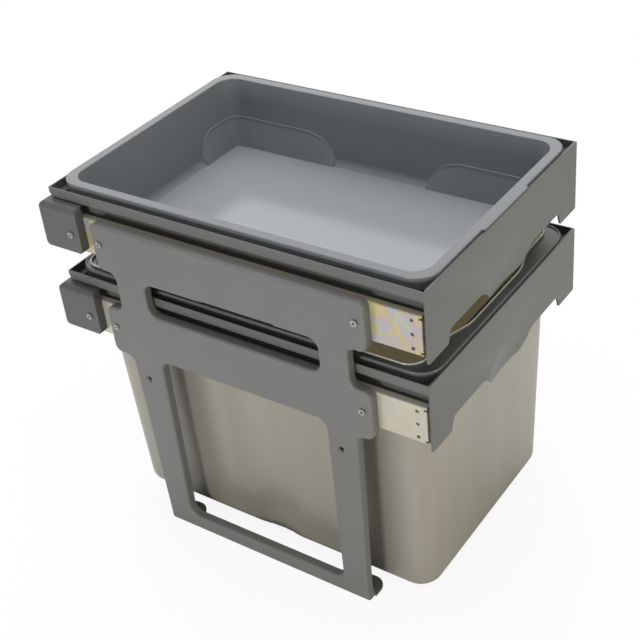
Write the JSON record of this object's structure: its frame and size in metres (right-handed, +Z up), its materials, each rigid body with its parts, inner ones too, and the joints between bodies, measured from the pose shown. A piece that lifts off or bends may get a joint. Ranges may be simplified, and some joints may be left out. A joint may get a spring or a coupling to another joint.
{
  "type": "pull out bin frame",
  "caption": "Two-tier pull-out bin frame: steel drawer frames on ball-bearing slides between side stands, with a shallow bin above a deep one.",
  "frame": {"origin": "on the cabinet floor, under the middle of the closed unit's bounding box", "axes": "+X is the way the drawers pull out, +Y runs across to the far side, +Z is up"},
  "size_m": [0.471, 0.348, 0.431],
  "materials": {
    "frame_grey": "fine satin powder coat",
    "moulding_grey": "fine matte grain",
    "upper_bin_grey": "satin",
    "lower_bin_metallic": "satin with a metallic, vertically brushed lustre",
    "slide_zinc": "zinc plated, pale yellow with faint pink and green",
    "screw_steel": "bright zinc",
    "rivet_steel": "bright zinc",
    "ball_steel": "polished",
    "cage_steel": "plain",
    "buffer_rubber": "matte"
  },
  "bodies": {
    "carcass": {"near_stand": "moulding_grey", "far_stand": "moulding_grey", "upper_near_cabinet_rail": "slide_zinc", "upper_near_rear_cover": "moulding_grey", "upper_far_cabinet_rail": "slide_zinc", "upper_far_rear_cover": "moulding_grey", "lower_near_cabinet_rail": "slide_zinc", "lower_near_rear_cover": "moulding_grey", "lower_far_cabinet_rail": "slide_zinc", "lower_far_rear_cover": "moulding_grey", "stand_screws": "screw_steel", "cover_screws": "screw_steel", "rear_buffers": "buffer_rubber"},
    "upper_drawer": {"upper_near_side_rail": "frame_grey", "upper_far_side_rail": "frame_grey", "upper_rear_rail": "frame_grey", "upper_front_rail": "frame_grey", "upper_front_plate": "frame_grey", "upper_near_drawer_rail": "slide_zinc", "upper_far_drawer_rail": "slide_zinc", "upper_rail_rivets": "rivet_steel"},
    "upper_middle_rails": {"upper_near_middle_rail": "slide_zinc", "upper_far_middle_rail": "slide_zinc"},
    "upper_outer_cages": {"upper_near_outer_cage": "cage_steel", "upper_far_outer_cage": "cage_steel", "upper_outer_balls": "ball_steel"},
    "upper_inner_cages": {"upper_near_inner_cage": "cage_steel", "upper_far_inner_cage": "cage_steel", "upper_inner_balls": "ball_steel"},
    "upper_bin": {"upper_bin": "upper_bin_grey"},
    "lower_drawer": {"lower_near_side_rail": "frame_grey", "lower_far_side_rail": "frame_grey", "lower_rear_rail": "frame_grey", "lower_front_rail": "frame_grey", "lower_front_plate": "frame_grey", "lower_near_drawer_rail": "slide_zinc", "lower_far_drawer_rail": "slide_zinc", "lower_rail_rivets": "rivet_steel"},
    "lower_middle_rails": {"lower_near_middle_rail": "slide_zinc", "lower_far_middle_rail": "slide_zinc"},
    "lower_outer_cages": {"lower_near_outer_cage": "cage_steel", "lower_far_outer_cage": "cage_steel", "lower_outer_balls": "ball_steel"},
    "lower_inner_cages": {"lower_near_inner_cage": "cage_steel", "lower_far_inner_cage": "cage_steel", "lower_inner_balls": "ball_steel"},
    "lower_bin": {"lower_bin": "lower_bin_metallic"}
  },
  "joints": [
    {"name": "upper_drawer_slide", "type": "slide", "parent": "carcass", "child": "upper_drawer", "axis": [1, 0, 0], "range_m": [0, 0.45]},
    {"name": "upper_middle_rails_slide", "type": "slide", "parent": "carcass", "child": "upper_middle_rails", "axis": [1, 0, 0], "range_m": [0, 0.225]},
    {"name": "upper_outer_cages_slide", "type": "slide", "parent": "carcass", "child": "upper_outer_cages", "axis": [1, 0, 0], "range_m": [0, 0.1125]},
    {"name": "upper_inner_cages_slide", "type": "slide", "parent": "carcass", "child": "upper_inner_cages", "axis": [1, 0, 0], "range_m": [0, 0.3375]},
    {"name": "upper_bin_lift", "type": "slide", "parent": "upper_drawer", "child": "upper_bin", "axis": [0, 0, 1], "range_m": [0, 0.1]},
    {"name": "lower_drawer_slide", "type": "slide", "parent": "carcass", "child": "lower_drawer", "axis": [1, 0, 0], "range_m": [0, 0.45]},
    {"name": "lower_middle_rails_slide", "type": "slide", "parent": "carcass", "child": "lower_middle_rails", "axis": [1, 0, 0], "range_m": [0, 0.225]},
    {"name": "lower_outer_cages_slide", "type": "slide", "parent": "carcass", "child": "lower_outer_cages", "axis": [1, 0, 0], "range_m": [0, 0.1125]},
    {"name": "lower_inner_cages_slide", "type": "slide", "parent": "carcass", "child": "lower_inner_cages", "axis": [1, 0, 0], "range_m": [0, 0.3375]},
    {"name": "lower_bin_lift", "type": "slide", "parent": "lower_drawer", "child": "lower_bin", "axis": [0, 0, 1], "range_m": [0, 0.012]}
  ],
  "couplings": [
    {"joint": "upper_middle_rails_slide", "follows": "upper_drawer_slide", "ratio": 0.5},
    {"joint": "upper_outer_cages_slide", "follows": "upper_drawer_slide", "ratio": 0.25},
    {"joint": "upper_inner_cages_slide", "follows": "upper_drawer_slide", "ratio": 0.75},
    {"joint": "lower_middle_rails_slide", "follows": "lower_drawer_slide", "ratio": 0.5},
    {"joint": "lower_outer_cages_slide", "follows": "lower_drawer_slide", "ratio": 0.25},
    {"joint": "lower_inner_cages_slide", "follows": "lower_drawer_slide", "ratio": 0.75}
  ]
}
